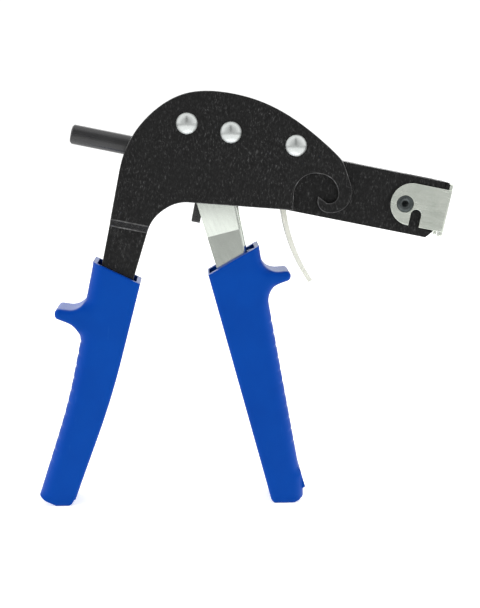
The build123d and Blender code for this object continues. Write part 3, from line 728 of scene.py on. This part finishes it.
finish_grip(
    "fixed_grip_sleeve",
    "fixed_grip",
    "frame",
    fixed_edge,
    pocket=((-28.7, -40), (-28.7, -144), (-15.8, -144), (-9.2, -61.9), (-9.2, -40)),
    pocket_half=8.5,
    cuts=(
        # the foot's rear and front corners
        (
            (-38.5, -170.8), (-36.4, -172.2), (-34.6, -173.4), (-32.4, -174.4), (-27.6, -175.6), (-23.7, -179),
            (-40, -179),
        ),
        (
            (-18.9, -171.4), (-19.8, -173.6), (-21.2, -175.0), (-23.4, -175.9), (-22, -179), (-14, -179),
            (-14, -171),
        ),
    ),
    ribs=(
        (((-29.2, -58.2), (-27.2, -58.7), (-28.4, -100), (-29.2, -100)), RIB_HALF),
        (((-11.5, -62.4), (-8.6, -63.2), (-12.5, -100), (-14.0, -100)), RIB_HALF),
    ),
)
finish_grip(
    "moving_grip_sleeve",
    "moving_grip",
    "handle",
    moving_edge,
    pocket=((-6.3, 6), (55.8, -112), (70.7, -112), (41.7, -33.5), (41.7, -23)),
    pocket_half=7.0,
    cuts=(
        # the outline over the lug, the notch under it, and the foot's front corner
        ((85.3, -136.2), (86.0, -137.7), (89.4, -144.6), (92.0, -144.6), (92.0, -136.2)),
        ((92.0, -145.6), (88.4, -146.2), (92.0, -147.6)),
        (
            (92.0, -148.6), (90.1, -149.2), (89.4, -150.3), (88.0, -151.6), (85.2, -153.4), (81.8, -154.6),
            (81.8, -158), (92, -158),
        ),
    ),
    ribs=(
        (((25.1, -51.4), (27.7, -50.9), (41.0, -82), (39.5, -82)), RIB_HALF),
        (((38.4, -38.6), (42.3, -36.3), (58.5, -80), (56.6, -80)), RIB_HALF),
        (((84.0, -135.9), (85.6, -137.3), (89.6, -144.6), (89.7, -145.5), (88.4, -146.1), (84.0, -146.1)), LUG_HALF),
    ),
)


# ---- rivets -------------------------------------------------------------------------------------------------

LATHE_STEPS = 72
DOME_STEPS = 14
PLATE_OUT = 11.0  # outer face of a side plate
RIVET_HEAD_R = 4.9
RIVET_HEAD = 2.3  # height of a head
SHANK_R = 2.75
RIM_WELD = 0.0000005  # joins the dome's last ring to the head's rim, in metres
RIVETS = {"pivot_rivet": 0.0, "centre_rivet": 20.6, "front_rivet": 51.3}  # tool x of each


def rivet_mesh(name, x, z):
    """A domed rivet across the tool, turned from its half profile."""
    sphere = (RIVET_HEAD_R**2 + RIVET_HEAD**2) / (2 * RIVET_HEAD)
    widest = math.asin(RIVET_HEAD_R / sphere)
    half = []
    for step in range(1, DOME_STEPS + 1):
        angle = widest * step / DOME_STEPS
        half.append((sphere * math.sin(angle), PLATE_OUT + RIVET_HEAD - sphere * (1 - math.cos(angle))))
    half += [(RIVET_HEAD_R, PLATE_OUT), (SHANK_R, PLATE_OUT)]
    work = bmesh.new()
    rings = []
    for radius, reach in half + [(radius, -reach) for radius, reach in reversed(half)]:
        ring = []
        for step in range(LATHE_STEPS):
            angle = math.tau * step / LATHE_STEPS
            ring.append(work.verts.new(tool(x + radius * math.cos(angle), -reach, z + radius * math.sin(angle))))
        rings.append(ring)
    near = work.verts.new(tool(x, -PLATE_OUT - RIVET_HEAD, z))
    far = work.verts.new(tool(x, PLATE_OUT + RIVET_HEAD, z))
    for i in range(LATHE_STEPS):
        j = (i + 1) % LATHE_STEPS
        work.faces.new((near, rings[0][i], rings[0][j]))
        work.faces.new((far, rings[-1][j], rings[-1][i]))
        for upper, lower in zip(rings, rings[1:]):
            work.faces.new((upper[i], lower[i], lower[j], upper[j]))
    bmesh.ops.remove_doubles(work, verts=work.verts, dist=RIM_WELD)
    mesh = closed_mesh(work, name)
    shade_smooth(mesh, sharp_angle=50)
    mesh.materials.append(STEEL)
    return mesh


for name, rivet_x in RIVETS.items():
    new_piece(name + "_turned", rivet_mesh(name, rivet_x, RIVET_LINE), "frame", name)


# ---- springs ------------------------------------------------------------------------------------------------

COIL_R = 5.4
WIRE_R = 0.5
COIL_STEPS = 40
WIRE_STEPS = 12
END_GAP = 0.1  # between a spring's end and what it presses on
CLOSED_PITCH = 2.2 * WIRE_R  # of the turn at each end

SPRINGS = (
    # name, rear and front ends along the rod, turns, joint that shortens it, share of the length kept
    ("return_spring", -15.0, 10.8, 9, "drive_slide", 0.58),
    ("lock_spring", 38.0, 46.79, 4, "lever_release", 0.88),
)


def coil_mesh(name, start, end, turns):
    """A compression spring round the rod with a closed turn at each end."""
    first, last = start + WIRE_R + END_GAP, end - WIRE_R - END_GAP
    work = bmesh.new()
    rings = []
    for step in range(turns * COIL_STEPS + 1):
        turn = step / COIL_STEPS
        if turn < 1:
            along = first + CLOSED_PITCH * turn
        elif turn > turns - 1:
            along = last - CLOSED_PITCH * (turns - turn)
        else:
            along = first + CLOSED_PITCH + (last - first - 2 * CLOSED_PITCH) * (turn - 1) / (turns - 2)
        angle = math.tau * turn
        out = Vector((0, math.cos(angle), math.sin(angle)))
        ring = []
        for side in range(WIRE_STEPS):
            spin = math.tau * side / WIRE_STEPS
            sideways = Vector((WIRE_R * math.sin(spin), 0, 0))
            spot = Vector((along, 0, 0)) + out * (COIL_R + WIRE_R * math.cos(spin)) + sideways
            ring.append(work.verts.new(tool(*spot)))
        rings.append(ring)
    for before, after in zip(rings, rings[1:]):
        for i in range(WIRE_STEPS):
            j = (i + 1) % WIRE_STEPS
            work.faces.new((before[i], before[j], after[j], after[i]))
    work.faces.new(rings[0])
    work.faces.new(reversed(rings[-1]))
    mesh = closed_mesh(work, name)
    shade_smooth(mesh)
    mesh.materials.append(WIRE)
    return mesh


for name, rear_end, front_end, turns, joint, keep in SPRINGS:
    coil = new_piece(name + "_coil", coil_mesh(name, rear_end, front_end, turns), "frame", name)
    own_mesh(coil)


# ---- studio -------------------------------------------------------------------------------------------------

FLOOR_REACH = 3.0
FLOOR_TONE = 0.93
FLOOR_CLOUD = 0.985  # the darker share of the floor's tone
FLOOR_GLOW = 0.42
CARD_STEPS = 96
CARD_Z = 0.004
LAMP_AIM = Vector((0, 0, 0.1))
WHITE = (1, 1, 1, 1)
BLACK = (0, 0, 0, 1)


def pale_floor():
    """A plain white floor that glows a little, so that it stays white round the tool's shadow."""
    mesh = bpy.data.meshes.new("floor")
    corners = [(-1, -1), (1, -1), (1, 1), (-1, 1)]
    mesh.from_pydata([(FLOOR_REACH * x, FLOOR_REACH * y, 0) for x, y in corners], [], [range(len(corners))])
    board = add_object("floor", mesh)
    m = Nodes("floor")
    dark, light = FLOOR_TONE * FLOOR_CLOUD, FLOOR_TONE
    tone = m.tones(m.noise(6, detail=2), (dark, dark, dark), (light, light, light))
    m.shade(Base_Color=tone, Roughness=0.8, Emission_Color=WHITE, Emission_Strength=FLOOR_GLOW)
    mesh.materials.append(m.material)


def glossy_card(name, work, glow):
    """A glowing card that only reflections see."""
    mesh = take_mesh(work, name)
    card = add_object(name, mesh)
    m = Nodes(name)
    m.shade(Base_Color=BLACK, Specular_IOR_Level=0.0, Emission_Color=WHITE, Emission_Strength=glow)
    mesh.materials.append(m.material)
    card.visible_camera = False
    card.visible_diffuse = False
    card.visible_shadow = False
    card.visible_transmission = False


def ring_card(name, inner, outer, glow):
    """A flat card round the tool, just over the floor."""
    work = bmesh.new()
    loops = []
    for radius in (inner, outer):
        loop = []
        for i in range(CARD_STEPS):
            angle = math.tau * i / CARD_STEPS
            loop.append(work.verts.new((radius * math.cos(angle), radius * math.sin(angle), CARD_Z)))
        loops.append(loop)
    for i in range(CARD_STEPS):
        j = (i + 1) % CARD_STEPS
        work.faces.new((loops[0][i], loops[1][i], loops[1][j], loops[0][j]))
    glossy_card(name, work, glow)


def upright_card(name, y, half_width, low, high, glow):
    """An upright card behind the tool."""
    work = bmesh.new()
    corners = ((-half_width, low), (half_width, low), (half_width, high), (-half_width, high))
    work.faces.new([work.verts.new((x, y, z)) for x, z in corners])
    glossy_card(name, work, glow)


def studio_world():
    """Pale all round and greyer in front, with a narrow dark gap there, upright and over the horizon.

    Directions are the world's own, so all of it stays where it is when the camera moves."""
    world = bpy.data.worlds.new("studio")
    bpy.context.scene.world = world
    world.use_nodes = True
    tree = world.node_tree

    def node(kind, **settings):
        made = tree.nodes.new(kind)
        for key, value in settings.items():
            setattr(made, key, value)
        return made

    def maths(operation, *values):
        made = node("ShaderNodeMath", operation=operation)
        for socket, value in zip(made.inputs, values):
            if isinstance(value, bpy.types.NodeSocket):
                tree.links.new(value, socket)
            else:
                socket.default_value = value
        return made.outputs[0]

    def step(value, low, high, to_low=0.0, to_high=1.0):
        made = node("ShaderNodeMapRange", interpolation_type="SMOOTHSTEP")
        tree.links.new(value, made.inputs["Value"])
        for key, number in (("From Min", low), ("From Max", high), ("To Min", to_low), ("To Max", to_high)):
            made.inputs[key].default_value = number
        return made.outputs["Result"]

    split = node("ShaderNodeSeparateXYZ")
    tree.links.new(node("ShaderNodeTexCoord").outputs["Generated"], split.inputs[0])
    across, depth, height = split.outputs
    gap_level, gap_middle, seen_by_camera = 0.15, 0.5, 1.05
    wall = step(depth, -0.9, -0.2, 0.6, 1.1)
    beside = step(maths("ABSOLUTE", across), 0.07, 0.16)
    over_or_under = step(maths("ABSOLUTE", maths("SUBTRACT", height, gap_middle)), 0.34, 0.44)
    behind = step(depth, -0.1, 0.0)
    outside_gap = maths("MAXIMUM", maths("MAXIMUM", beside, over_or_under), behind)
    level = maths("MULTIPLY", wall, maths("ADD", maths("MULTIPLY", outside_gap, 1 - gap_level), gap_level))
    camera_ray = node("ShaderNodeLightPath").outputs["Is Camera Ray"]
    strength = maths("MAXIMUM", level, maths("MULTIPLY", camera_ray, seen_by_camera))
    background = tree.nodes["Background"]
    tree.links.new(strength, background.inputs["Strength"])
    background.inputs["Color"].default_value = WHITE


def soft_lamp(name, size, place, power):
    """A rectangular lamp aimed at the tool, which reflections don't see."""
    lamp = bpy.data.lights.new(name, "AREA")
    lamp.shape = "RECTANGLE"
    lamp.size, lamp.size_y = size
    lamp.energy = power
    holder = add_object(name, lamp)
    holder.location = place
    holder.rotation_euler = facing(LAMP_AIM - Vector(place))
    holder.visible_glossy = False


pale_floor()
ring_card("pale_card", 0.12, 0.61, 1.15)
ring_card("grey_card", 0.61, 2.9, 0.42)
upright_card("back_card", 1.6, 1.8, 0.17, 1.5, 2.6)
studio_world()
soft_lamp("left", (0.5, 0.9), (-1.0, -0.25, 0.4), 7.5)
soft_lamp("right", (0.5, 0.9), (1.0, -0.25, 0.4), 6.5)
soft_lamp("top", (0.8, 0.5), (0, 0.1, 1.1), 3.0)
